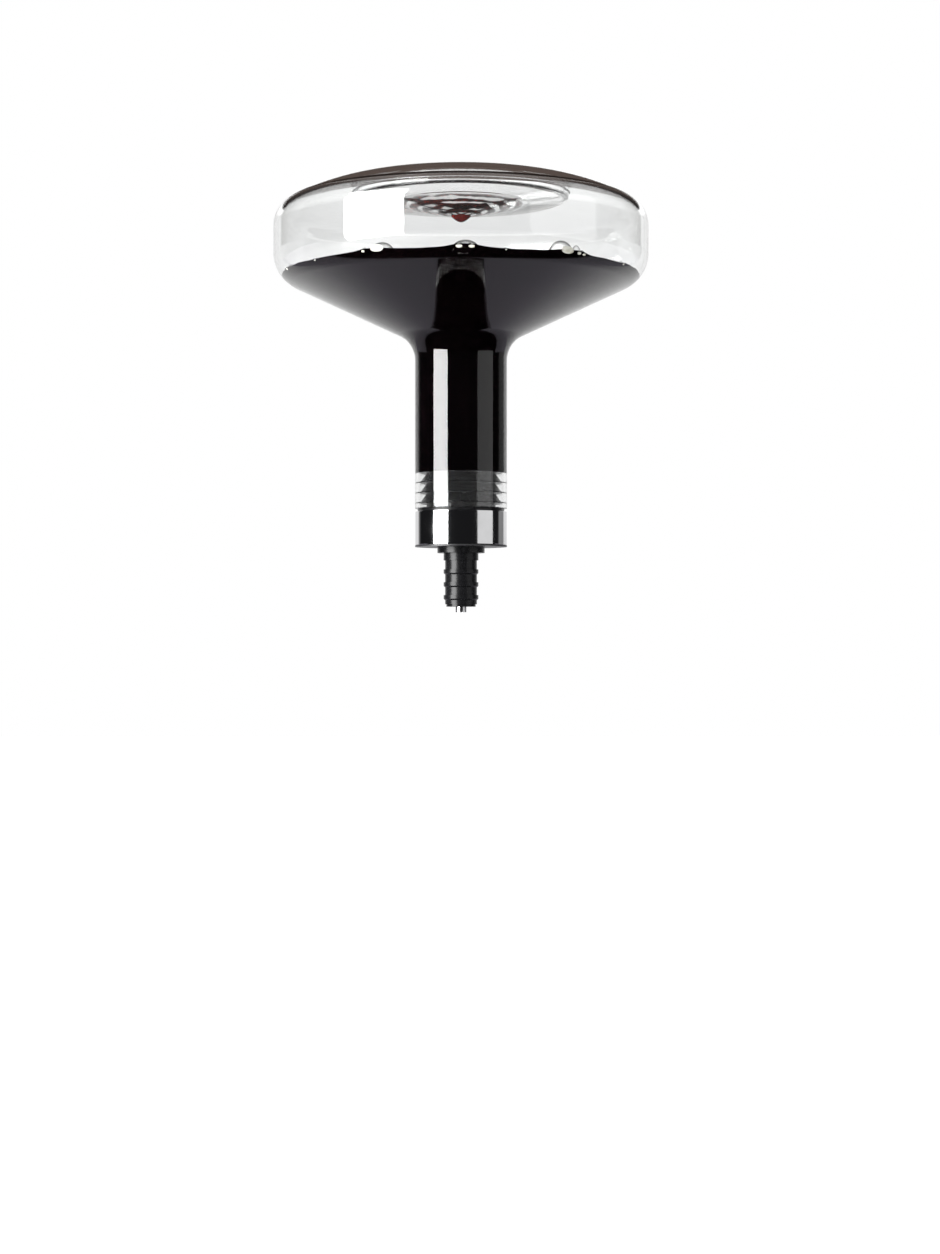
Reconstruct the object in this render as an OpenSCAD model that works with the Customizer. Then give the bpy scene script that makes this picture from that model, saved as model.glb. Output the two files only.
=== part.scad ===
// Aerating wine carafe on its bottle stopper, standing neck down on a bottle.
// z = 0 is the plane of the bottle's lip and +Z points up through the carafe, in millimetres.

/* [Carafe] */
// Outside diameter of the bowl
bowl_d = 204.2; // [180:1:250]
// Outside diameter of the neck
neck_d = 50.2; // [47:0.1:62]
// Straight length of the neck, from its lip to where it flares
neck_len = 81; // [60:1:110]
// Thickness of the blown wall
wall = 2.4; // [1.8:0.1:3]
// Radius where the neck flares into the funnel of the bowl
flare_r = 15.5; // [8:0.5:25]
// Angle of the bowl's funnel above the horizontal
funnel_angle = 25.2; // [18:0.2:35]
// Radius where the funnel turns up into the bowl's upright band
shoulder_r = 17.5; // [8:0.5:25]
// Height of the upright band
band_h = 15.4; // [6:0.2:40]
// Radius where the band turns over into the base
corner_r = 14.5; // [8:0.5:20]
// Slope of the base's outside where it leaves the corner
base_edge_slope = 26.4; // [22:0.2:34]
// Slope of the base's outside where it meets the standing ring
base_ring_slope = 9.4; // [4:0.2:12]
// Outside diameter of the ring that the carafe stands on
ring_d = 118; // [90:1:124]
// Width of that ring
ring_w = 2; // [1.5:0.5:5]
// Height of the step inside the ring, where the base is folded in
step_h = 6.2; // [4:0.1:8]
// How far the base is pushed in between the step and the dimple
push_depth = 2.4; // [1:0.1:4]
// Diameter of the dimple in the middle of the base
dimple_d = 74; // [50:1:86]
// Depth of the dimple
dimple_depth = 8.2; // [5:0.1:12]
// Radius of the dimple's rounded tip
dimple_tip_r = 9; // [6:0.5:12]

/* [Neck seal] */
// How far a fin reaches from the seal's sleeve to the neck's bore
fin_reach = 3.8; // [3:0.1:5]
// Number of fins
fin_count = 4; // [2:1:6]
// Distance from fin to fin
fin_pitch = 5.5; // [4.5:0.1:7]
// Height of the first fin's flat underside above the carafe's lip
fin_start = 3; // [2:0.1:5]
// Thickness of a fin at its tip
fin_tip_t = 0.4; // [0.2:0.1:0.8]
// Bare root left between a fin's slope and the fin above it
fin_land = 0.5; // [0.2:0.1:1]
// Radial clearance between the fins and the neck's bore
fin_gap = 0.05; // [0.02:0.01:0.1]
// Thickness of the seal's sleeve
seal_wall = 2.5; // [1.5:0.1:3]
// Thickness of the lip that holds the seal on the core's rim
seal_cap_t = 1.3; // [0.8:0.1:2]

/* [Collar] */
// How far the collar's outside lies in from the neck's outside
collar_inset = 0.1; // [0:0.1:1]
// Height of the steel collar
collar_h = 18.4; // [16:0.1:30]
// Wall of the steel collar
collar_wall = 1.2; // [0.8:0.1:2]
// Rounding of the collar's two outer edges
collar_edge = 0.4; // [0.2:0.1:0.6]
// Thickness of the washer under the carafe's lip
washer_t = 1.5; // [1:0.1:3]
// How far the washer's edge lies in from the neck's outside
washer_inset = 1.5; // [0.2:0.1:2]

/* [Flow core] */
// Wall of the core's upper tube
core_wall = 2.2; // [1.6:0.1:3]
// Thickness of the core's flange
core_flange_t = 3.4; // [3:0.1:5]
// Wall of the hub that holds the air tube
hub_wall = 3.2; // [2.5:0.1:4]
// How far the hub's top lies below the rim of the core's tube
hub_inset = 5.2; // [3:0.1:8]
// Number of spokes from the hub to the tube
spoke_count = 4; // [3:1:5]
// Thickness of a spoke
spoke_t = 1.6; // [1.2:0.1:3]
// Wall of the core's outlet
outlet_wall = 2.6; // [2.2:0.1:3]
// How deep the outlet sits in the base's socket
socket_depth = 5; // [4:0.1:8]

/* [Base and bung] */
// Thickness of the base's rim below the collar
rim_t = 0.8; // [0.6:0.1:2]
// How far the rim stands out past the collar
rim_proud = 0.1; // [0:0.05:0.4]
// Thickness of the base plate inside the collar
plate_t = 3; // [2:0.1:5]
// Diameter of the bung's ribs, which press into the bottle's mouth
plug_d = 19; // [17:0.1:24]
// Length of the bung's ribbed part
plug_len = 28; // [20:0.5:40]
// Depth of the grooves between the ribs
groove_depth = 0.8; // [0.4:0.1:1.2]
// Thickness of the bung from its ribs to the spigot inside it
bung_wall = 2.1; // [1.8:0.1:3]
// Wall of the spigot, which has the wine passage inside it
spigot_wall = 1.5; // [1.2:0.1:2]
// Number of ribs below the first land
rib_count = 3; // [1:1:4]
// Height of a rib
rib_h = 2; // [1:0.1:3]
// Height of the plain land under the flange
land_h = 4; // [2:0.1:8]
// How far the flange that rests on the bottle's lip stands out past the ribs
flange_w = 3.4; // [2:0.1:5]
// Thickness of that flange
flange_t = 3.3; // [2:0.1:6]

/* [Air tube] */
// Outside diameter of the air tube
tube_d = 6; // [5:0.1:7]
// Wall of the air tube
tube_wall = 0.7; // [0.4:0.1:1]
// How far the tube reaches below the bung
tube_below = 3; // [1:0.5:20]
// How far the tube stands above the spreader
tube_above = 11; // [4:0.5:40]
// Radial clearance of the tube in the hub's bore
tube_gap = 0.05; // [0.02:0.01:0.1]
// Distance from the spreader's edge to the neck's bore
spreader_inset = 3.7; // [3:0.1:6]
// Height of the gap that the wine fans out through
spreader_gap = 3.5; // [2:0.1:8]
// Thickness of the spreader's skirt
spreader_t = 1.4; // [1:0.1:2.5]
// Slope of the spreader's skirt
spreader_angle = 20; // [5:1:30]

/* [Hidden] */
$fn = 96;
ARC_STEP = 4.5; // degrees between the points of a rounded outline
fit = 0.05; // radial clearance between the stopper's own moulded parts
oring_t = 1.6; // thickness of every o-ring
oring_squeeze_gap = 0.03; // radial clearance of the tube's o-ring
cap_inset = 0.4; // how far the seal's cap lies back from the core's bore
hub_lift = 0.5; // height of the hub's foot above the collar's top
boss_inset = 0.8; // how far the spreader's boss lies in from the hub's outside
boss_land = 1.5; // height of the boss above the spreader's skirt
boss_taper = 1; // how much the boss's radius falls at its top
socket_wall = 2; // wall round the base's socket
socket_floor = 1; // thickness of the socket's floor above the plate
outlet_neck = 1.1; // height of the outlet between the socket's rim and the funnel
nose_len = 3; // plain end of the bung below its last rib
nose_t = 1.3; // thickness of the bung's end below the spigot
nose_inset = 0.7; // how far the bung's end lies in from its grooves
nose_gap = 0.1; // radial clearance of the bung's end round the wine passage
step_run = 0.8; // how far the ring's inner flank leans in over the step's height
channel_w = 0.6; // width of the channel's top inside the ring
over = 1; // how far a cut runs past the solid it cuts

// Heights, from the bottle's lip upwards
z_rim = flange_t;
z_collar = z_rim + rim_t;
z_collar_top = z_collar + collar_h;
z_lip = z_collar_top + washer_t;
z_seal_top = z_lip + fin_start + fin_count * fin_pitch - fin_land;
z_core_top = z_seal_top - seal_cap_t;
z_hub = z_collar_top + hub_lift;
z_hub_top = z_core_top - hub_inset;
z_spreader = z_seal_top + spreader_gap;
z_bung = -plug_len;
z_tube = z_bung - nose_t - tube_below;

// Radii that fit into the carafe's neck
neck_r = neck_d / 2;
bore_r = neck_r - wall;
seal_r = bore_r - fin_reach;
core_r = seal_r - seal_wall;
core_bore_r = core_r - core_wall;
spreader_r = bore_r - spreader_inset;

// Radii of the collar and the washer, which follow the neck's outside
collar_r = neck_r - collar_inset;
collar_bore_r = collar_r - collar_wall;
washer_r = neck_r - washer_inset;

// Radii that fit into the bottle's mouth, from the bung inwards, and the outlet above them
plug_r = plug_d / 2;
groove_r = plug_r - groove_depth;
spigot_r = plug_r - bung_wall;
passage_r = spigot_r - spigot_wall;
outlet_r = passage_r + outlet_wall;
socket_r = outlet_r + fit;

// Radii round the air tube
tube_r = tube_d / 2;
hub_r = tube_r + hub_wall;
boss_r = hub_r - boss_inset;
gland_r = tube_r + oring_squeeze_gap + oring_t;

// The core's funnel falls from its tube to the outlet, which hangs in the base's socket
z_socket = z_collar + plate_t + socket_floor;
z_funnel = z_socket + socket_depth + outlet_neck;
z_outlet_top = z_funnel - 1;
z_funnel_top = z_collar_top - core_flange_t;
funnel_slope = (z_collar_top - z_funnel) / (core_bore_r - passage_r);
z_tube_oring = (z_hub + z_hub_top) / 2;
z_flange_oring = z_collar_top - core_flange_t / 2;
z_socket_oring = z_socket + socket_depth / 2;

// Spreader: its skirt falls from the boss to the rim
spreader_rise = (spreader_r - boss_r) * tan(spreader_angle);
z_boss_top = z_spreader + spreader_rise + spreader_t + boss_land;
z_tube_top = z_boss_top + tube_above;

// Carafe outline: centres of its arcs
bowl_r = bowl_d / 2;
z_flare = z_lip + neck_len;
flare_x = neck_r + flare_r;
shoulder_x = bowl_r - shoulder_r;
z_shoulder = z_flare + (flare_r + shoulder_r) / cos(funnel_angle)
    + (shoulder_x - flare_x) * tan(funnel_angle);
corner_x = bowl_r - corner_r;
z_corner = z_shoulder + band_h;
ring_r = ring_d / 2;
dimple_r = dimple_d / 2;

// The base falls from the ring to the corner on one arc about [base_x, z_base]
base_edge_x = corner_x + corner_r * sin(base_edge_slope);
base_edge_z = z_corner + corner_r * cos(base_edge_slope);
base_r = (base_edge_x - ring_r) / (sin(base_edge_slope) - sin(base_ring_slope));
base_x = base_edge_x - base_r * sin(base_edge_slope);
z_base = base_edge_z - base_r * cos(base_edge_slope);
z_ring = z_base + base_r * cos(base_ring_slope);
flank_r = ring_r - ring_w;
z_step = z_ring - step_h;

// Inside the ring the wall folds back down, which leaves a channel between it and the base
channel_x = flank_r + wall + channel_w;
channel_slope = asin((channel_x - base_x) / (base_r - wall));
z_channel = z_base + (base_r - wall) * cos(channel_slope) - channel_w / 2;

// Points of an arc about [x, y], from one angle to the other
function arc(x, y, r, from, to) =
    let (n = max(2, ceil(abs(to - from) / ARC_STEP)))
    [for (i = [0:n]) let (a = from + (to - from) * i / n) [x + r * cos(a), y + r * sin(a)]];

// Neck, flare, funnel, shoulder, band, corner and base up to a slope of it, moved inwards by d
function bowl_side(d, end_slope) = concat(
    [[neck_r - d, z_lip]],
    arc(flare_x, z_flare, flare_r + d, 180, 90 + funnel_angle),
    arc(shoulder_x, z_shoulder, shoulder_r - d, funnel_angle - 90, 0),
    arc(corner_x, z_corner, corner_r - d, 0, 90 - base_edge_slope),
    arc(base_x, z_base, base_r - d, 90 - base_edge_slope, 90 - end_slope)
);

// The dimple's flank runs straight from its rim until it is tangent to its round tip, which a
// slope s does where r sin(s) is the radius and the tip's lowest point is the dimple's depth.
// r (1 - cos s) + (dimple_r - r sin s) tan s = depth, solved by halving the step.
function dimple_fall(s) =
    dimple_tip_r * (1 - cos(s)) + (dimple_r - dimple_tip_r * sin(s)) * tan(s);
function dimple_slope(low, high, n) =
    let (mid = (low + high) / 2)
    n == 0 ? mid
    : dimple_fall(mid) > dimple_depth ? dimple_slope(low, mid, n - 1)
    : dimple_slope(mid, high, n - 1);
flank_slope = dimple_slope(1, 45, 30);

// Ring's flank from the height top down to the step, and the middle of the base to the axis,
// moved inwards by d
function base_middle(d, top) = concat(
    [[flank_r + d, top], [flank_r - step_run + d, z_step - d], [dimple_r, z_step - push_depth - d]],
    arc(0, z_step - d - push_depth - dimple_depth + dimple_tip_r, dimple_tip_r, flank_slope - 90, -90)
);

module glass_carafe() {
    color("aliceblue", 0.4)
    rotate_extrude()
    difference() {
        polygon(concat(
            [[0, z_lip]],
            bowl_side(0, base_ring_slope),
            base_middle(0, z_ring)
        ));
        polygon(concat(
            [[0, z_lip - over], [bore_r, z_lip - over]],
            bowl_side(wall, channel_slope),
            base_middle(wall, z_channel)
        ));
    }
}

module fin(z) {
    tip_r = bore_r - fin_gap;
    polygon([
        [seal_r - 1, z], [tip_r, z], [tip_r, z + fin_tip_t],
        [seal_r, z + fin_pitch - fin_land], [seal_r - 1, z + fin_pitch - fin_land]
    ]);
}

module neck_seal() {
    color("#17171a")
    rotate_extrude() {
        translate([core_r, z_collar_top])
            square([seal_wall, z_seal_top - z_collar_top]);
        translate([core_bore_r + cap_inset, z_core_top])
            square([core_wall, seal_cap_t]);
        for (i = [0:fin_count - 1])
            fin(z_lip + fin_start + i * fin_pitch);
    }
}

module lip_washer() {
    color("#202022")
    translate([0, 0, z_collar_top])
    linear_extrude(washer_t)
    difference() {
        circle(r = washer_r);
        circle(r = seal_r);
    }
}

module steel_collar() {
    color("lightgray")
    rotate_extrude()
    polygon([
        [collar_bore_r, z_collar],
        [collar_r - collar_edge, z_collar],
        [collar_r, z_collar + collar_edge],
        [collar_r, z_collar_top - collar_edge],
        [collar_r - collar_edge, z_collar_top],
        [collar_bore_r, z_collar_top]
    ]);
}

module o_ring(centre_r, z) {
    translate([0, 0, z])
    rotate_extrude()
    translate([centre_r, 0])
    circle(d = oring_t, $fn = 48);
}

// Square groove for an o-ring, cut into a shaft of radius r
module shaft_groove(r, z) {
    translate([0, 0, z - oring_t / 2])
    difference() {
        cylinder(r = r + over, h = oring_t);
        translate([0, 0, -over])
            cylinder(r = r - oring_t, h = oring_t + 2 * over);
    }
}

module collar_o_ring() {
    color("#101010")
    o_ring(collar_bore_r - oring_t / 2, z_flange_oring);
}

module tube_o_ring() {
    color("#101010")
    o_ring(gland_r - oring_t / 2, z_tube_oring);
}

module socket_o_ring() {
    color("#101010")
    o_ring(socket_r - oring_t / 2, z_socket_oring);
}

module flow_core() {
    flange_r = collar_bore_r - fit;
    color("#1c1c1e")
    difference() {
        union() {
            rotate_extrude()
            polygon([
                [passage_r, z_socket],
                [outlet_r, z_socket],
                [outlet_r, z_outlet_top],
                [outlet_r + (z_funnel_top - z_outlet_top) / funnel_slope, z_funnel_top],
                [flange_r, z_funnel_top],
                [flange_r, z_collar_top],
                [core_r, z_collar_top],
                [core_r, z_core_top],
                [core_bore_r, z_core_top],
                [core_bore_r, z_collar_top],
                [passage_r, z_funnel]
            ]);
            translate([0, 0, z_hub])
                cylinder(r = hub_r, h = z_hub_top - z_hub);
            for (i = [0:spoke_count - 1])
                rotate([0, 0, (i + 0.5) * 360 / spoke_count])
                translate([hub_r - 1, -spoke_t / 2, z_hub])
                cube([core_bore_r - hub_r + 1.5, spoke_t, z_hub_top - z_hub - 1]);
        }
        translate([0, 0, z_hub - over])
            cylinder(r = tube_r + tube_gap, h = z_hub_top - z_hub + 2 * over);
        translate([0, 0, z_tube_oring - oring_t / 2])
            cylinder(r = gland_r + fit, h = oring_t);
        shaft_groove(flange_r, z_flange_oring);
        shaft_groove(outlet_r, z_socket_oring);
    }
}

module base_plate() {
    color("#1c1c1e")
    rotate_extrude()
    polygon([
        [passage_r, z_bung],
        [spigot_r, z_bung],
        [spigot_r, z_rim],
        [collar_r + rim_proud, z_rim],
        [collar_r + rim_proud, z_collar],
        [collar_bore_r - fit, z_collar],
        [collar_bore_r - fit, z_collar + plate_t],
        [socket_r + socket_wall, z_collar + plate_t],
        [socket_r + socket_wall, z_socket + socket_depth],
        [socket_r, z_socket + socket_depth],
        [socket_r, z_socket],
        [passage_r, z_socket]
    ]);
}

module bottle_bung() {
    rib_pitch = (plug_len - land_h - nose_len) / rib_count;
    color("#141416")
    rotate_extrude() {
        translate([spigot_r, 0])
            square([plug_r + flange_w - spigot_r, flange_t]);
        translate([spigot_r, z_bung])
            square([groove_r - spigot_r, plug_len + 1]);
        translate([spigot_r, -land_h])
            square([bung_wall, land_h + 1]);
        for (i = [1:rib_count])
            translate([spigot_r, -land_h - i * rib_pitch])
            polygon([
                [0, 0.001], [groove_r - spigot_r, -groove_depth], [bung_wall, 0],
                [bung_wall, rib_h], [0, rib_h]
            ]);
        translate([passage_r + nose_gap, z_bung - nose_t])
            square([groove_r - nose_inset - passage_r - nose_gap, nose_t]);
    }
}

module air_tube() {
    color("silver")
    translate([0, 0, z_tube])
    difference() {
        cylinder(r = tube_r, h = z_tube_top - z_tube);
        translate([0, 0, -over])
            cylinder(r = tube_r - tube_wall, h = z_tube_top - z_tube + 2 * over);
    }
}

module wine_spreader() {
    color("#1c1c1e")
    rotate_extrude()
    polygon([
        [tube_r, z_hub_top],
        [boss_r, z_hub_top],
        [boss_r, z_spreader + spreader_rise],
        [spreader_r, z_spreader],
        [spreader_r, z_spreader + spreader_t],
        [boss_r, z_spreader + spreader_rise + spreader_t],
        [boss_r - boss_taper, z_boss_top],
        [tube_r, z_boss_top]
    ]);
}

glass_carafe();
neck_seal();
lip_washer();
steel_collar();
collar_o_ring();
flow_core();
tube_o_ring();
socket_o_ring();
base_plate();
bottle_bung();
air_tube();
wine_spreader();
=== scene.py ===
import math

import bpy
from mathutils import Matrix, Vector, noise


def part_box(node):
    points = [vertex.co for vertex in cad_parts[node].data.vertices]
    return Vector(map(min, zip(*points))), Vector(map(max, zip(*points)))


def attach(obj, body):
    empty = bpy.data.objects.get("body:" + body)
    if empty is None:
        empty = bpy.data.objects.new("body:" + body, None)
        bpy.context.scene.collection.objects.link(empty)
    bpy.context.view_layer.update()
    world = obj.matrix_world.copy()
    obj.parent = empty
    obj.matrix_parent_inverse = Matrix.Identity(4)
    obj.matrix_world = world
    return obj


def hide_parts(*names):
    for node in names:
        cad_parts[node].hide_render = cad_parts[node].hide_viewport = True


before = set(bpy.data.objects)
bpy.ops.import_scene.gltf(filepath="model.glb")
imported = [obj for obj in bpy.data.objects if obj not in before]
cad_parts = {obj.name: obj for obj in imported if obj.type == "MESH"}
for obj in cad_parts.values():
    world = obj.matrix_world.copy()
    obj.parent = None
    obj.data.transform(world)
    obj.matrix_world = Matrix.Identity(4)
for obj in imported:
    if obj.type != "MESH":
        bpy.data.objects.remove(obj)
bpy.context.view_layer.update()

mm = 0.001  # pieces are set out in millimetres like the CAD, finishes and the studio in metres


def arcPoints(x, z, radius, start, end, step=3.0):
    # points of an arc about (x, z), angles in degrees
    count = max(2, math.ceil(abs(end - start) / step))
    angles = [math.radians(start + (end - start) * i / count) for i in range(count + 1)]
    return [(x + radius * math.cos(a), z + radius * math.sin(a)) for a in angles]


def softened(corners, pieces=4):
    # corners are (x, z, fillet); a fillet of 0 keeps the corner sharp
    nearlyStraight = math.radians(89.5)
    points = []
    for i, (x, z, fillet) in enumerate(corners):
        if fillet == 0 or i == 0 or i == len(corners) - 1:
            points.append((x, z))
            continue
        here = Vector((x, z))
        back = (Vector(corners[i - 1][:2]) - here).normalized()
        on = (Vector(corners[i + 1][:2]) - here).normalized()
        half = math.acos(max(-1.0, min(1.0, back.dot(on)))) / 2
        if half > nearlyStraight:
            points.append((x, z))
            continue
        reach = fillet / math.tan(half)
        centre = here + (back + on).normalized() * fillet / math.sin(half)
        first, last = here + back * reach - centre, here + on * reach - centre
        for step in range(pieces + 1):
            spoke = first.slerp(last, step / pieces).normalized() * fillet
            points.append(tuple(centre + spoke))
    return points


def startOperators(name):
    if bpy.context.mode != "OBJECT":
        bpy.ops.object.mode_set(mode="OBJECT")
    bpy.ops.object.select_all(action="DESELECT")
    print("modelling", name)


def turned(name, outline, steps=128, closed=True, sharp=32):
    # a vertex is walked along half the section, then spun round the axis
    startOperators(name)
    bpy.ops.mesh.primitive_plane_add(size=mm)
    piece = bpy.context.object
    piece.name = piece.data.name = name
    bpy.ops.object.mode_set(mode="EDIT")
    bpy.ops.mesh.select_mode(type="VERT")
    bpy.ops.mesh.select_all(action="SELECT")
    bpy.ops.mesh.merge(type="CENTER")
    route = [Vector((x * mm, 0, z * mm)) for x, z in outline]
    bpy.ops.transform.translate(value=route[0])
    for a, b in zip(route, route[1:]):
        bpy.ops.mesh.extrude_region_move(TRANSFORM_OT_translate={"value": b - a})
    if closed:
        bpy.ops.mesh.extrude_region_move(TRANSFORM_OT_translate={"value": route[0] - route[-1]})
    bpy.ops.mesh.select_all(action="SELECT")
    bpy.ops.mesh.spin(steps=steps, angle=math.tau, center=(0, 0, 0), axis=(0, 0, 1))
    bpy.ops.mesh.select_all(action="SELECT")
    bpy.ops.mesh.remove_doubles(threshold=2e-6)
    bpy.ops.mesh.normals_make_consistent(inside=False)
    bpy.ops.object.mode_set(mode="OBJECT")
    bpy.ops.object.shade_smooth_by_angle(angle=math.radians(sharp))
    evened = piece.modifiers.new("evenNormals", "WEIGHTED_NORMAL")  # keeps long faces flat
    evened.keep_sharp = True
    bpy.ops.object.modifier_apply(modifier=evened.name)
    return piece


def finishPiece(piece, material, body, stoodFor=()):
    piece.data.materials.clear()
    piece.data.materials.append(material)
    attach(piece, body)
    if stoodFor:
        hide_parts(*stoodFor)


class Wire:
    # one socket, so that shader maths reads as arithmetic
    def __init__(self, board, socket):
        self.board = board
        self.socket = socket

    def maths(self, operation, first, second):
        return self.board.add("Math", {"operation": operation}, {0: first, 1: second})

    def __add__(self, other):
        return self.maths("ADD", self, other)

    def __radd__(self, other):
        return self.maths("ADD", other, self)

    def __sub__(self, other):
        return self.maths("SUBTRACT", self, other)

    def __rsub__(self, other):
        return self.maths("SUBTRACT", other, self)

    def __mul__(self, other):
        return self.maths("MULTIPLY", self, other)

    def __rmul__(self, other):
        return self.maths("MULTIPLY", other, self)

    def __pow__(self, other):
        return self.maths("POWER", self, other)

    def between(self, low, high):
        # a smooth rise from 0 at low to 1 at high
        return self.board.add("MapRange", {"interpolation_type": "SMOOTHSTEP"},
                              {0: self, 1: low, 2: high})


class Board:
    # the node tree of one material, or of the world
    def __init__(self, owner):
        owner.use_nodes = True
        self.tree = owner.node_tree

    def plug(self, socket, value):
        if isinstance(value, Wire):
            self.tree.links.new(value.socket, socket)
        else:
            socket.default_value = value

    def add(self, kind, settings=None, sockets=None, output=0):
        node = self.tree.nodes.new("ShaderNode" + kind)
        for key, value in (settings or {}).items():
            setattr(node, key, value)
        for key, value in (sockets or {}).items():
            self.plug(node.inputs[key], value)
        return Wire(self, node.outputs[output])

    def place(self):
        return self.add("TexCoord", output="Object")

    def split(self, vector):
        # the x, y and z of a vector
        first = self.add("SeparateXYZ", None, {0: vector})
        return [Wire(self, socket) for socket in first.socket.node.outputs]

    def noise(self, scale, detail=3.0, roughness=0.5, vector=None):
        return self.add("TexNoise", None, {"Vector": vector or self.place(), "Scale": scale,
                                           "Detail": detail, "Roughness": roughness})

    def mixed(self, factor, *colours):
        first, second = (c if isinstance(c, Wire) else (*c, 1) for c in colours)
        return self.add("Mix", {"data_type": "RGBA"}, {0: factor, 6: first, 7: second}, output=2)

    def bump(self, height, strength, distance):
        return self.add("Bump", None, {"Height": height, "Strength": strength, "Distance": distance})

    def shade(self, name, value):
        self.plug(self.surface.inputs[name], value)


def newFinish(name, values):
    # a material with its uniform values set on the shader itself
    material = bpy.data.materials.new(name)
    board = Board(material)
    board.surface = board.tree.nodes["Principled BSDF"]
    board.material = material
    for key, value in values.items():
        board.surface.inputs[key].default_value = value
    return board


def grey(value):
    return (value, value, value)


def clearGlass():
    board = newFinish("clearGlass", {"Transmission Weight": 1.0, "IOR": 1.5})
    ripple = board.noise(14.0, 1.0)
    smear = board.noise(60.0, 4.0).between(0.45, 0.8)
    board.shade("Base Color", board.mixed(smear, (0.985, 0.99, 0.988), (0.965, 0.972, 0.968)))
    board.shade("Roughness", smear * 0.012)
    board.shade("Normal", board.bump(ripple, 0.06, 0.0005))
    return board.material


def darkWine():
    board = newFinish("darkWine", {"IOR": 1.34, "Roughness": 0.02})
    cloud = board.noise(30.0).between(0.35, 0.7)
    board.shade("Base Color", board.mixed(cloud, (0.007, 0.0012, 0.002), (0.014, 0.002, 0.0035)))
    return board.material


def wineAtGlass():
    # against the glass there is hardly any mirror left, so the wine is matt there
    board = newFinish("wineAtGlass", {"Specular IOR Level": 0.0, "Roughness": 0.6})
    cloud = board.noise(25.0).between(0.35, 0.7)
    board.shade("Base Color", board.mixed(cloud, (0.0012, 0.0006, 0.0008), (0.002, 0.0009, 0.0012)))
    return board.material


def redDrop():
    board = newFinish("redDrop", {"IOR": 1.34, "Roughness": 0.12})
    depth = board.noise(220.0, 2.0).between(0.3, 0.7)
    board.shade("Base Color", board.mixed(depth, (0.12, 0.007, 0.006), (0.22, 0.014, 0.010)))
    return board.material


def wineResidue():
    # rings and runs of wine that the drained base has kept
    board = newFinish("wineResidue", {"IOR": 1.34, "Roughness": 0.05})
    flat = board.add("VectorMath", {"operation": "MULTIPLY"}, {0: board.place(), 1: (1.0, 1.0, 0.0)})
    radius = board.add("VectorMath", {"operation": "LENGTH"}, {0: flat}, output="Value")
    wander = board.noise(45.0) * 0.010
    rings = board.add("Math", {"operation": "SINE"}, {0: (radius + wander) * 900.0})  # one every 7 mm
    runs = board.noise(75.0, 3.0, 0.6)
    inner = 1.0 - (radius + wander * 0.6).between(0.030, 0.040)  # they fade out away from the dimple
    cover = (rings * 0.22 + runs * 1.3).between(0.56, 0.76) * inner
    board.shade("Base Color", board.mixed(runs, (0.035, 0.008, 0.008), (0.20, 0.03, 0.022)))
    board.shade("Alpha", cover * 0.9)
    return board.material


def bubbleFilm():
    # clear where it faces the eye, and painted dark where it curves away from the eye: a painted shade
    # for the dark rim of the curved film
    board = newFinish("bubbleFilm", {"IOR": 1.33, "Roughness": 0.03})
    edge = board.add("LayerWeight", None, {"Blend": 0.5}, output="Facing")
    cloud = board.noise(400.0, 2.0)
    board.shade("Base Color", board.mixed(cloud, (0.012, 0.012, 0.006), (0.050, 0.048, 0.028)))
    board.shade("Alpha", 0.04 + edge ** 2.6 * 0.96)
    return board.material


def paintedLitPocket():
    # the air under a bubble, painted a bright cream: a painted reflection standing in for the light seen
    # in the air through the glass
    board = newFinish("paintedLitPocket", {"IOR": 1.33, "Roughness": 0.15})
    cloud = board.noise(350.0).between(0.35, 0.65)
    board.shade("Base Color", board.mixed(cloud, (0.62, 0.60, 0.50), (0.86, 0.86, 0.80)))
    return board.material


def blackSilicone():
    board = newFinish("blackSilicone", {"IOR": 1.42, "Specular IOR Level": 0.28})
    grain = board.noise(900.0)
    dust = board.noise(70.0, 4.0).between(0.55, 0.8)
    board.shade("Base Color", board.mixed(dust, (0.004, 0.004, 0.0045), (0.009, 0.009, 0.0095)))
    board.shade("Roughness", 0.27 + dust * 0.12)
    board.shade("Normal", board.bump(grain, 0.12, 0.00006))
    return board.material


def polishedSteel():
    board = newFinish("polishedSteel", {"Metallic": 1.0})
    stretched = board.add("Mapping", None, {"Vector": board.place(), "Scale": (60.0, 60.0, 5200.0)})
    lines = board.noise(1.0, 2.0, vector=stretched)
    smear = board.noise(55.0, 4.0).between(0.4, 0.75)
    board.shade("Base Color", board.mixed(smear, (0.72, 0.72, 0.73), (0.66, 0.66, 0.665)))
    board.shade("Roughness", 0.045 + smear * 0.05 + lines * 0.03)
    board.shade("Normal", board.bump(lines, 0.05, 0.00003))
    return board.material


def drawnSteel():
    board = newFinish("drawnSteel", {"Metallic": 1.0})
    stretched = board.add("Mapping", None, {"Vector": board.place(), "Scale": (2600.0, 2600.0, 40.0)})
    lines = board.noise(1.0, vector=stretched)
    board.shade("Base Color", board.mixed(lines, (0.60, 0.60, 0.61), (0.70, 0.70, 0.71)))
    board.shade("Roughness", 0.16 + lines * 0.14)
    board.shade("Normal", board.bump(lines, 0.12, 0.00004))
    return board.material


def mouldedPlastic():
    board = newFinish("mouldedPlastic", {"IOR": 1.5})
    grain = board.noise(1400.0)
    flow = board.noise(45.0).between(0.4, 0.75)
    board.shade("Base Color", board.mixed(flow, (0.010, 0.010, 0.011), (0.017, 0.017, 0.018)))
    board.shade("Roughness", 0.36 + flow * 0.1)
    board.shade("Normal", board.bump(grain, 0.15, 0.00005))
    return board.material


finishes = {
    "glass": clearGlass(), "wine": darkWine(), "wineSide": wineAtGlass(), "drop": redDrop(),
    "residue": wineResidue(), "film": bubbleFilm(), "pocket": paintedLitPocket(),
    "silicone": blackSilicone(), "steel": polishedSteel(), "tubeSteel": drawnSteel(),
    "plastic": mouldedPlastic(),
}
print("materials ready:", len(finishes))


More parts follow.
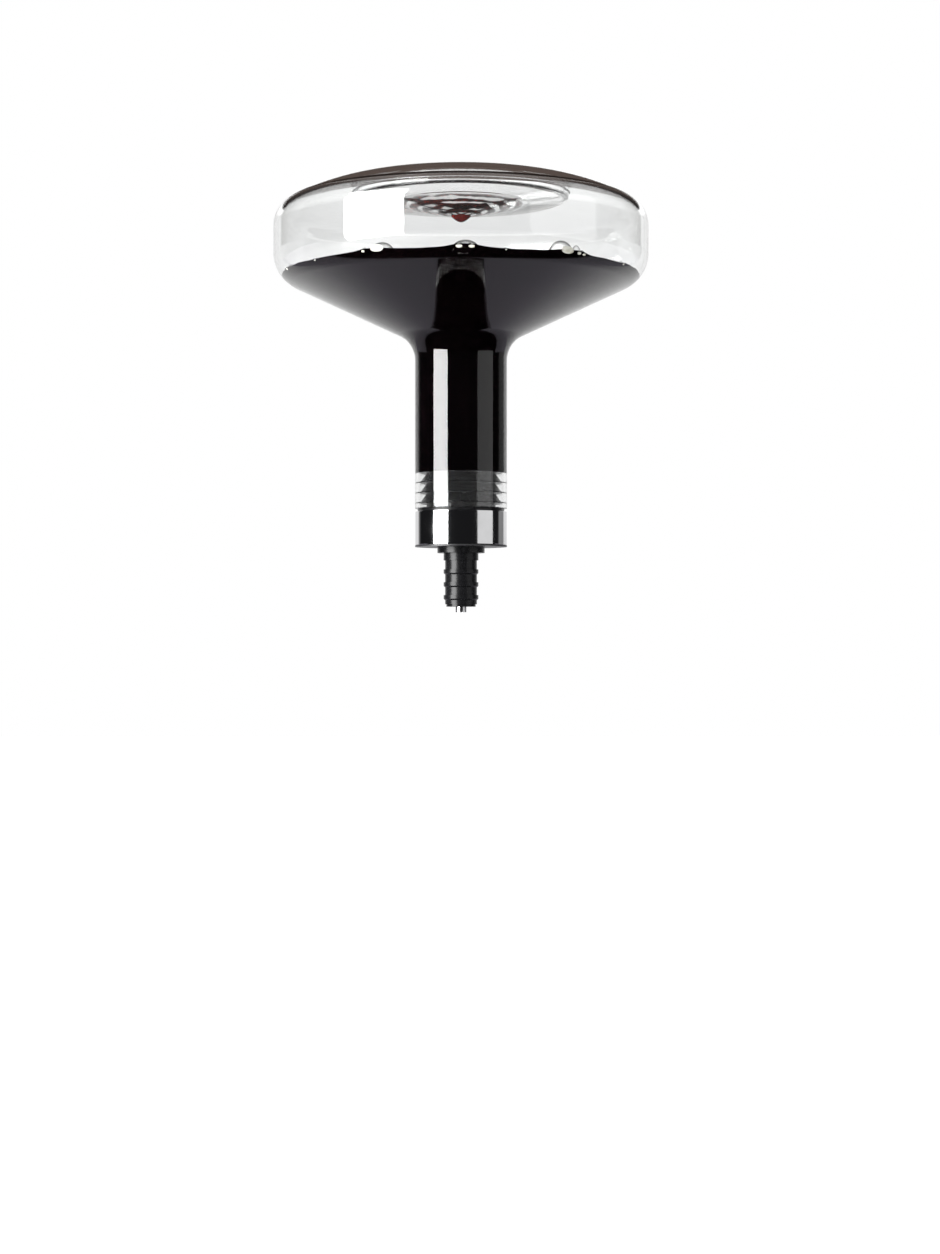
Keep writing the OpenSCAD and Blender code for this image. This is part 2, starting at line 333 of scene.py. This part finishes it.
carafe = {
    "lip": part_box("glass_carafe")[0][2] / mm, "bowlR": 102.1, "neckR": 25.1, "neckLength": 81.0,
    "wall": 2.4, "flare": 15.5, "funnel": 25.2, "shoulder": 17.5, "band": 15.4, "corner": 14.5,
    "edgeSlope": 26.4, "ringSlope": 9.4, "ringR": 59.0, "ringWidth": 2.0, "step": 6.2,
    "stepRun": 0.8, "channel": 0.6, "push": 2.4, "dimpleR": 37.0, "dimple": 8.2, "tip": 9.0,
    "outerFillets": (0.8, 1.8), "innerFillets": (0.25, 1.2), "dimpleFillet": 14.0,
    "lipFillets": (0.3, 0.45),
}


def bowlShape(c):
    # the centres that the carafe's arcs share, worked out from its settings
    shape = dict(c)
    funnel = math.radians(c["funnel"])
    shape["flareX"] = c["neckR"] + c["flare"]
    shape["flareZ"] = c["lip"] + c["neckLength"]
    shape["shoulderX"] = c["bowlR"] - c["shoulder"]
    shape["shoulderZ"] = (shape["flareZ"] + (c["flare"] + c["shoulder"]) / math.cos(funnel)
                          + (shape["shoulderX"] - shape["flareX"]) * math.tan(funnel))
    shape["cornerX"] = c["bowlR"] - c["corner"]
    shape["cornerZ"] = shape["shoulderZ"] + c["band"]
    edge, ring = math.radians(c["edgeSlope"]), math.radians(c["ringSlope"])
    edgeX = shape["cornerX"] + c["corner"] * math.sin(edge)
    shape["baseR"] = (edgeX - c["ringR"]) / (math.sin(edge) - math.sin(ring))
    shape["baseX"] = edgeX - shape["baseR"] * math.sin(edge)
    shape["baseZ"] = shape["cornerZ"] + (c["corner"] - shape["baseR"]) * math.cos(edge)
    shape["ringZ"] = shape["baseZ"] + shape["baseR"] * math.cos(ring)
    return shape


bowl = bowlShape(carafe)


def flareArc(b, inset):
    return arcPoints(b["flareX"], b["flareZ"], b["flare"] + inset, 180, 90 + b["funnel"])


def shoulderArc(b, inset):
    return arcPoints(b["shoulderX"], b["shoulderZ"], b["shoulder"] - inset, b["funnel"] - 90, 0)


def bowlSide(b, inset, endSlope):
    # flare, shoulder, corner and base up to the ring, moved inwards by inset
    corner = arcPoints(b["cornerX"], b["cornerZ"], b["corner"] - inset, 0, 90 - b["edgeSlope"])
    base = arcPoints(b["baseX"], b["baseZ"], b["baseR"] - inset, 90 - b["edgeSlope"],
                     90 - endSlope, 1.0)
    return flareArc(b, inset) + shoulderArc(b, inset) + corner + base[1:]


def dimpleSlope(b):
    # the flank's slope where it runs smoothly into the round tip, found by small steps
    slope = 12.0
    for _ in range(40):
        s = math.radians(slope)
        fall = b["tip"] * (1 - math.cos(s)) + (b["dimpleR"] - b["tip"] * math.sin(s)) * math.tan(s)
        slope += (b["dimple"] - fall) * 0.8
    return slope


def foldedBase(b, inset, top, fillets):
    # the ring's flank, the step, and the middle of the base in to the dimple's tip
    flank, step = b["ringR"] - b["ringWidth"] + inset, b["ringZ"] - b["step"] - inset
    tipZ = step - b["push"] - b["dimple"]
    tip = arcPoints(0, tipZ + b["tip"], b["tip"], dimpleSlope(b) - 90, -90, 2.0)
    corners = [(flank + 1.5, top, 0), (flank, top, fillets[0]), (flank - b["stepRun"], step, fillets[1]),
               (b["dimpleR"], step - b["push"], b["dimpleFillet"]), (*tip[0], 0)]
    return softened(corners, 8)[1:] + tip[1:]


def glassOutline(b):
    outer = bowlSide(b, 0, b["ringSlope"]) + foldedBase(b, 0, b["ringZ"], b["outerFillets"])
    channelX = b["ringR"] - b["ringWidth"] + b["wall"] + b["channel"]
    channelSlope = math.degrees(math.asin((channelX - b["baseX"]) / (b["baseR"] - b["wall"])))
    inner = bowlSide(b, b["wall"], channelSlope)
    channelTop = inner[-1][1] - b["channel"] / 2
    inner += foldedBase(b, b["wall"], channelTop, b["innerFillets"])
    innerR, above = b["neckR"] - b["wall"], b["lip"] + 6
    insideFillet, outsideFillet = b["lipFillets"]
    lip = softened([(innerR, above, 0), (innerR, b["lip"], insideFillet),
                    (b["neckR"], b["lip"], outsideFillet), (b["neckR"], above, 0)])
    return inner[::-1] + lip + outer


finishPiece(turned("carafeGlass", glassOutline(bowl), 160, closed=False, sharp=40),
            finishes["glass"], "carafe", ["glass_carafe"])


wine = {
    "level": 151.3, "intoGlass": 0.08, "meniscus": 0.8, "rimRows": (-0.6, -1.6),
    "climb": ((9, 0.02), (5, 0.08), (2.5, 0.22), (1.0, 0.5)),  # distance from the glass, and height
    "bottom": 43.7, "shaftR": 19.8, "shaftFoot": 48.6, "shaftTop": 141.0, "tubeR": 3.6,
    "tubeTop": 0.25, "sideFromR": 20.5, "wave": 0.35, "waveFromR": 80, "waveRun": 12,
    "rimR": 95, "bubbleReach": 0.8, "bubbleLift": 0.09,
}

bubbles = [  # angle from the front, width and height of the dome, and of the air under it
    {"angle": 34.4, "width": 12.4, "height": 6.4, "pocket": 7.6, "deep": 3.8},
    {"angle": 39.0, "width": 4.6, "height": 4.4, "pocket": 2.6, "deep": 2.2},
    {"angle": 41.2, "width": 3.6, "height": 2.6, "pocket": 2.2, "deep": 1.6},
    {"angle": 1.7, "width": 13.6, "height": 4.2, "pocket": 0, "deep": 0},
    {"angle": -0.4, "width": 4.6, "height": 2.8, "pocket": 3.4, "deep": 2.3},
    {"angle": 3.4, "width": 4.6, "height": 2.6, "pocket": 3.2, "deep": 2.1},
    {"angle": -26.0, "width": 12.0, "height": 4.6, "pocket": 7.4, "deep": 3.6},
    {"angle": -31.0, "width": 3.2, "height": 2.2, "pocket": 1.9, "deep": 1.6},
    {"angle": 62.5, "width": 3.0, "height": 2.0, "pocket": 2.0, "deep": 1.5},
    {"angle": -73.0, "width": 4.2, "height": 2.4, "pocket": 2.2, "deep": 1.8},
    {"angle": 14.0, "width": 2.0, "height": 1.2, "pocket": 0.9, "deep": 0.8},
    {"angle": -52.0, "width": 2.2, "height": 1.2, "pocket": 1.0, "deep": 0.9},
]


def insideRadius(z, inset):
    # radius of the carafe's inner wall at a height in the shoulder or the band
    radius = bowl["shoulder"] - bowl["wall"]
    rise = max(-radius, min(0.0, z - bowl["shoulderZ"]))
    return bowl["shoulderX"] + math.sqrt(radius ** 2 - rise ** 2) + inset


def ringNoise(angle, waves, seed):
    # noise that closes on itself round the glass
    return noise.noise(Vector((math.cos(angle) * waves, math.sin(angle) * waves, seed)))


def rimHeight(angle):
    # the wine's edge on the glass: a slow wave, and a climb at each bubble
    height = wine["wave"] * (ringNoise(angle, 2.4, 3.7) * 1.6 + ringNoise(angle, 11, 8.1) * 0.5)
    for bubble in bubbles:
        apart = math.degrees(angle) + 90 - bubble["angle"]
        apart = (apart + 180) % 360 - 180
        reach = math.degrees(bubble["width"] * wine["bubbleReach"] / wine["rimR"])
        height += wine["bubbleLift"] * bubble["width"] * math.exp(-(apart / reach) ** 2)
    return height


def wineOutline(b):
    inset, level = b["wall"] - wine["intoGlass"], wine["level"]
    shoulder = [(x, z) for x, z in shoulderArc(b, inset) if z < level - 2.5]
    rimR = insideRadius(level, wine["intoGlass"])
    surface = [(0.0, level), (60, level)] + [(rimR - away, level + up) for away, up in wine["climb"]]
    rim = [(insideRadius(level + up, wine["intoGlass"]), level + up)
           for up in (wine["meniscus"], *wine["rimRows"])]
    neckR, foot, shaftTop = b["neckR"] - inset, wine["shaftFoot"], wine["shaftTop"]
    neck = [(neckR, wine["bottom"] + 20), (neckR, wine["bottom"]), (wine["shaftR"] - 0.4, foot - 1)]
    tubeTop = level - wine["tubeTop"]
    shaft = [(wine["shaftR"], foot), (wine["shaftR"], shaftTop), (wine["tubeR"], shaftTop + 4),
             (wine["tubeR"], tubeTop), (0.0, tubeTop)]
    return surface + rim + shoulder[::-1] + flareArc(b, inset)[::-1] + neck + shaft


def waveTheRim(piece):
    # the edge rises and falls along the glass and stays on it; the lowest row goes half as far
    upperRow, lowerRow = wine["rimRows"]
    for vertex in piece.data.vertices:
        x, y, z = vertex.co / mm
        radius, above = math.hypot(x, y), z - wine["level"]
        if radius < wine["waveFromR"] or above < lowerRow - 0.4:
            continue
        onSurface = above > upperRow / 2
        near = min(1.0, (radius - wine["waveFromR"]) / wine["waveRun"]) if onSurface else 1.0
        share = 1.0 if above > (upperRow + lowerRow) / 2 else 0.5
        lift = rimHeight(math.atan2(y, x)) * near * share
        onGlass = above > wine["meniscus"] - 0.05 or not onSurface
        wanted = insideRadius(z + lift, wine["intoGlass"]) if onGlass else radius
        vertex.co = Vector((x * wanted / radius, y * wanted / radius, z + lift)) * mm


wineBody = turned("wineBody", wineOutline(bowl), 256, closed=False, sharp=50)
waveTheRim(wineBody)
finishPiece(wineBody, finishes["wine"], "carafe")
wineBody.data.materials.append(finishes["wineSide"])
for face in wineBody.data.polygons:
    outside = face.center.xy.length > wine["sideFromR"] * mm
    onGlass = face.normal.z < 0.35 and face.normal.xy.dot(face.center.xy) > 0
    face.material_index = 1 if outside and onGlass else 0


bubbleShape = {"inward": 0.42, "skirt": 0.6, "filmT": 0.05, "pocketRise": 0.3, "pocketHalfT": 0.5,
               "pocketInset": -0.12}


def atGlass(angle, z, inset):
    reach = insideRadius(z, inset)
    return Vector((math.cos(angle) * reach, math.sin(angle) * reach, z)) * mm


def roundBlob(name, place, size, turn):
    startOperators(name)
    bpy.ops.mesh.primitive_uv_sphere_add(segments=32, ring_count=20, radius=1, location=place,
                                         rotation=(0, 0, turn))
    blob = bpy.context.object
    blob.name = blob.data.name = name
    blob.scale = size * mm
    bpy.ops.object.transform_apply(location=True, rotation=True, scale=True)
    bpy.ops.object.shade_smooth()
    return blob


def makeBubble(number, bubble):
    # a dome of film on the wine's edge, and the air under it that shows through the glass, painted bright
    # cream as a painted reflection
    b = bubbleShape
    angle = math.radians(bubble["angle"] - 90)
    level = wine["level"] + rimHeight(angle) * 0.5
    place = atGlass(angle, level, -bubble["width"] * b["inward"])
    film = roundBlob(f"bubbleFilm{number}", place,
                     Vector((bubble["width"] / 2, bubble["width"] / 2, bubble["height"])), angle)
    bpy.ops.object.mode_set(mode="EDIT")
    bpy.ops.mesh.select_all(action="SELECT")
    bpy.ops.mesh.bisect(plane_co=place - Vector((0, 0, b["skirt"] * mm)), plane_no=(0, 0, 1),
                        clear_inner=True)
    bpy.ops.object.mode_set(mode="OBJECT")
    wall = film.modifiers.new("wall", "SOLIDIFY")
    wall.thickness = b["filmT"] * mm
    bpy.ops.object.modifier_apply(modifier=wall.name)
    finishPiece(film, finishes["film"], "carafe")
    if bubble["pocket"]:
        middle = level + b["pocketRise"] * bubble["deep"]
        size = Vector((b["pocketHalfT"], bubble["pocket"] / 2, bubble["deep"] / 2))
        pocket = roundBlob(f"paintedLitPocket{number}", atGlass(angle, middle, b["pocketInset"]), size, angle)
        finishPiece(pocket, finishes["pocket"], "carafe")


for number, bubble in enumerate(bubbles, 1):
    makeBubble(number, bubble)


residue = {"intoGlass": 0.15, "leastT": 0.02, "rows": 48, "dropR": 5.6, "hang": 2.2,
           "filmR": 44.0, "filmT": 0.12}
underside = foldedBase(bowl, bowl["wall"], bowl["ringZ"] - 3, bowl["innerFillets"])


def undersideHeight(x):
    # height of the base's inside at a radius, within the step
    for (x1, z1), (x2, z2) in zip(underside, underside[1:]):
        if x2 <= x <= x1:
            return z2 + (z1 - z2) * (x - x2) / (x1 - x2)
    return underside[-1][1]


def filmOutline(reach, thickness):
    # a layer of wine on the base's inside, from a radius in to its middle
    radii = [reach * (1 - i / residue["rows"]) for i in range(residue["rows"] + 1)]
    upper = [(x, undersideHeight(x) + residue["intoGlass"]) for x in radii]
    lower = [(x, undersideHeight(x) - residue["leastT"] - thickness(x)) for x in radii]
    return upper + lower[::-1]


def hangingDrop(x):
    return residue["hang"] * (1 - (x / residue["dropR"]) ** 2)


def evenFilm(x):
    return residue["filmT"]


finishPiece(turned("wineDrop", filmOutline(residue["dropR"], hangingDrop), 64, closed=False),
            finishes["drop"], "carafe")
finishPiece(turned("wineResidue", filmOutline(residue["filmR"], evenFilm), 96, closed=False),
            finishes["residue"], "carafe")


seal = {"rootR": 18.9, "innerR": 16.45, "fins": 4, "pitch": 5.5, "first": 27.0, "land": 0.5,
        "bottom": 22.5, "top": 48.5, "tipR": 22.75, "lipT": 0.35, "flatRun": 1.2, "slopeRun": 0.9,
        "slopeRise": 0.55, "capR": 14.8, "capT": 1.2}


def sealOutline(s):
    # every fin is flat underneath and slopes down from the sleeve on top
    corners = [(s["innerR"], s["bottom"], 0), (s["rootR"], s["bottom"], 0.2)]
    for i in range(s["fins"]):
        z = s["first"] + i * s["pitch"]
        lipZ = z + s["lipT"]
        corners += [(s["rootR"], z, 0.35), (s["tipR"] - s["flatRun"], z + 0.05, 0.4),
                    (s["tipR"], z - 0.2, 0.1), (s["tipR"], lipZ, 0.12),
                    (s["tipR"] - s["slopeRun"], lipZ + s["slopeRise"], 0.5),
                    (s["rootR"], z + s["pitch"] - s["land"], 0.4)]
    capBottom = s["top"] - s["capT"]
    corners += [(s["rootR"] - 0.6, s["top"], 0.4), (s["capR"], s["top"], 0.4),
                (s["capR"], capBottom, 0), (s["innerR"], capBottom, 0)]
    return softened(corners, 3)


finishPiece(turned("neckSealSilicone", sealOutline(seal)), finishes["silicone"], "stopper",
            ["neck_seal"])


collar = {"outerR": 25.0, "innerR": 23.8, "outerEdge": 0.35, "innerEdge": 0.15}


def collarOutline(c):
    low, high = (corner[2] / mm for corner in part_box("steel_collar"))
    middle = (low + high) / 2
    return softened([(c["innerR"], middle, 0), (c["innerR"], low, c["innerEdge"]),
                     (c["outerR"], low, c["outerEdge"]), (c["outerR"], high, c["outerEdge"]),
                     (c["innerR"], high, c["innerEdge"]), (c["innerR"], middle, 0)])[:-1]


finishPiece(turned("collarSteel", collarOutline(collar), 160), finishes["steel"], "stopper",
            ["steel_collar"])


for node, finish in {
    "lip_washer": "silicone", "collar_o_ring": "silicone", "tube_o_ring": "silicone",
    "socket_o_ring": "silicone", "bottle_bung": "silicone", "flow_core": "plastic",
    "base_plate": "plastic", "wine_spreader": "plastic", "air_tube": "tubeSteel",
}.items():
    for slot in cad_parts[node].material_slots:
        slot.material = finishes[finish]


studio = {
    "camera": (0.0049, -1.28, -0.0404), "lens": 67.3,
    "floor": {"z": -0.335, "size": 8, "back": 1.0, "glow": 0.55},
    "flag": {"below": 0.002, "from": 0.10, "to": 0.18},
    "card": {"depth": 0.35, "width": 0.76, "top": 0.318, "fullAbove": 0.08, "glow": 1.25,
             "brighterFrom": 0.056, "brighterTo": 0.033},
    "keyBox": {"azimuth": -52.5, "elevation": 5, "distance": 1.4, "size": (0.97, 1.9), "power": 108},
    "sideBox": {"azimuth": 64, "elevation": 13, "distance": 1.4, "size": (1.16, 1.1), "power": 3.6},
}


def softbox(name):
    settings = studio[name]
    azimuth, elevation = math.radians(settings["azimuth"]), math.radians(settings["elevation"])
    away = Vector((math.sin(azimuth) * math.cos(elevation), -math.cos(azimuth) * math.cos(elevation),
                   math.sin(elevation)))
    lamp = bpy.data.lights.new(name, "AREA")
    lamp.shape = "RECTANGLE"
    lamp.size, lamp.size_y = settings["size"]
    lamp.energy = settings["power"]
    light = bpy.data.objects.new(name, lamp)
    light.location = away * settings["distance"]
    light.rotation_mode = "QUATERNION"
    light.rotation_quaternion = away.to_track_quat("Z", "Y")
    bpy.context.scene.collection.objects.link(light)


def stagePlane(name, size, location, tilt=0):
    startOperators(name)
    bpy.ops.mesh.primitive_plane_add(size=size, location=location, rotation=(math.radians(tilt), 0, 0))
    plane = bpy.context.object
    plane.name = name
    return plane


def lightOnly(name, strength):
    # gives light of its own and takes none from the lamps
    return newFinish(name, {"Base Color": (0, 0, 0, 1), "Roughness": 1.0, "Specular IOR Level": 0.0,
                            "Emission Strength": strength})


def seenOnlyBy(plane, *rays):
    for kind in ("camera", "diffuse", "glossy", "transmission", "shadow", "volume_scatter"):
        setattr(plane, "visible_" + kind, kind in rays)


def makeFloor():
    f = studio["floor"]
    floor = stagePlane("floor", f["size"], (0, f["back"], f["z"]))
    board = newFinish("paleFloor", {"Roughness": 0.9, "Specular IOR Level": 0.1,
                                    "Emission Color": (1, 1, 1, 1), "Emission Strength": f["glow"]})
    board.shade("Base Color", board.mixed(board.noise(3.0), grey(0.86), grey(0.88)))
    floor.data.materials.append(board.material)
    floor.visible_glossy = False


def makeFlaggedFloor():
    # what gloss sees of the floor: lit behind the carafe, flagged off in front of it
    f = studio["floor"]
    flagged = stagePlane("flaggedFloor", f["size"], (0, 0, f["z"] - studio["flag"]["below"]))
    board = lightOnly("flaggedFloor", 1.0)
    depth = board.split(board.place())[1]
    lit = depth.between(studio["flag"]["from"], studio["flag"]["to"])
    board.shade("Emission Color", board.mixed(lit, grey(0.004), (0.43, 0.41, 0.47)))
    flagged.data.materials.append(board.material)
    seenOnlyBy(flagged, "glossy")


def makeCard():
    # a white card behind the carafe, which only reflected and refracted rays see
    c, foot = studio["card"], studio["floor"]["z"]
    tall = c["top"] - foot
    card = stagePlane("card", 1, (0, c["depth"], c["top"] - tall / 2), tilt=90)
    card.scale = (c["width"], tall, 1)
    bpy.ops.object.transform_apply(location=True, rotation=True, scale=True)
    board = lightOnly("whiteCard", c["glow"])
    height = board.split(board.place())[2]
    white = board.mixed(height.between(foot, c["fullAbove"]), (0.36, 0.342, 0.392), grey(0.72))
    topStrip = height.between(c["top"] - c["brighterFrom"], c["top"] - c["brighterTo"])
    board.shade("Emission Color", board.mixed(topStrip, white, grey(1)))
    card.data.materials.append(board.material)
    seenOnlyBy(card, "glossy", "transmission")


def makeWorld():
    # a grey wall over the card, and a dark room on the camera's side; angles are in degrees
    world = bpy.data.worlds.new("studio")
    bpy.context.scene.world = world
    board = Board(world)
    across, depth, height = board.split(board.add("TexCoord", output="Generated"))
    inDegrees = 57.2958
    turn = board.add("Math", {"operation": "ARCTAN2"}, {0: across, 1: 0.0 - depth}) * inDegrees
    rise = board.add("Math", {"operation": "ARCSINE"}, {0: height}) * inDegrees
    aside = across * across
    wall = board.mixed(aside.between(0.03, 0.15), (0.105, 0.080, 0.070), (0.030, 0.026, 0.025))
    behind = board.mixed(rise.between(8.4, 9.0), grey(0.90), (0.28, 0.27, 0.26))
    behind = board.mixed(rise.between(12, 19), behind, wall)
    through = board.mixed(aside.between(0.45, 0.85), behind, grey(0.45))
    through = board.mixed(depth.between(-0.9, -0.2), grey(0.45), through)
    sides = turn.between(106, 114) * 0.30 + turn.between(146, 168) * 0.70
    sides = sides + (0.0 - turn).between(120, 150)
    room = board.mixed(sides, (0.012, 0.012, 0.013), behind)
    room = board.mixed(rise.between(50, 75), room, grey(0.55))
    seen, refracted, scattered = (board.add("LightPath", output=f"Is {kind} Ray")
                                  for kind in ("Camera", "Transmission", "Diffuse"))
    light = board.mixed(refracted, room, through)
    light = board.mixed(scattered, light, grey(0.70))
    light = board.mixed(seen, light, grey(1))
    board.plug(board.tree.nodes["Background"].inputs["Color"], light)


def makeCamera():
    lens = bpy.data.cameras.new("camera")
    lens.lens = studio["lens"]
    lens.sensor_width = 36
    lens.clip_end = 50
    camera = bpy.data.objects.new("camera", lens)
    camera.location = studio["camera"]
    camera.rotation_euler = (math.radians(90), 0, 0)
    bpy.context.scene.collection.objects.link(camera)
    bpy.context.scene.camera = camera


softbox("keyBox")
softbox("sideBox")
makeFloor()
makeFlaggedFloor()
makeCard()
makeWorld()
makeCamera()
bpy.context.scene.view_settings.view_transform = "Standard"
print("studio ready")
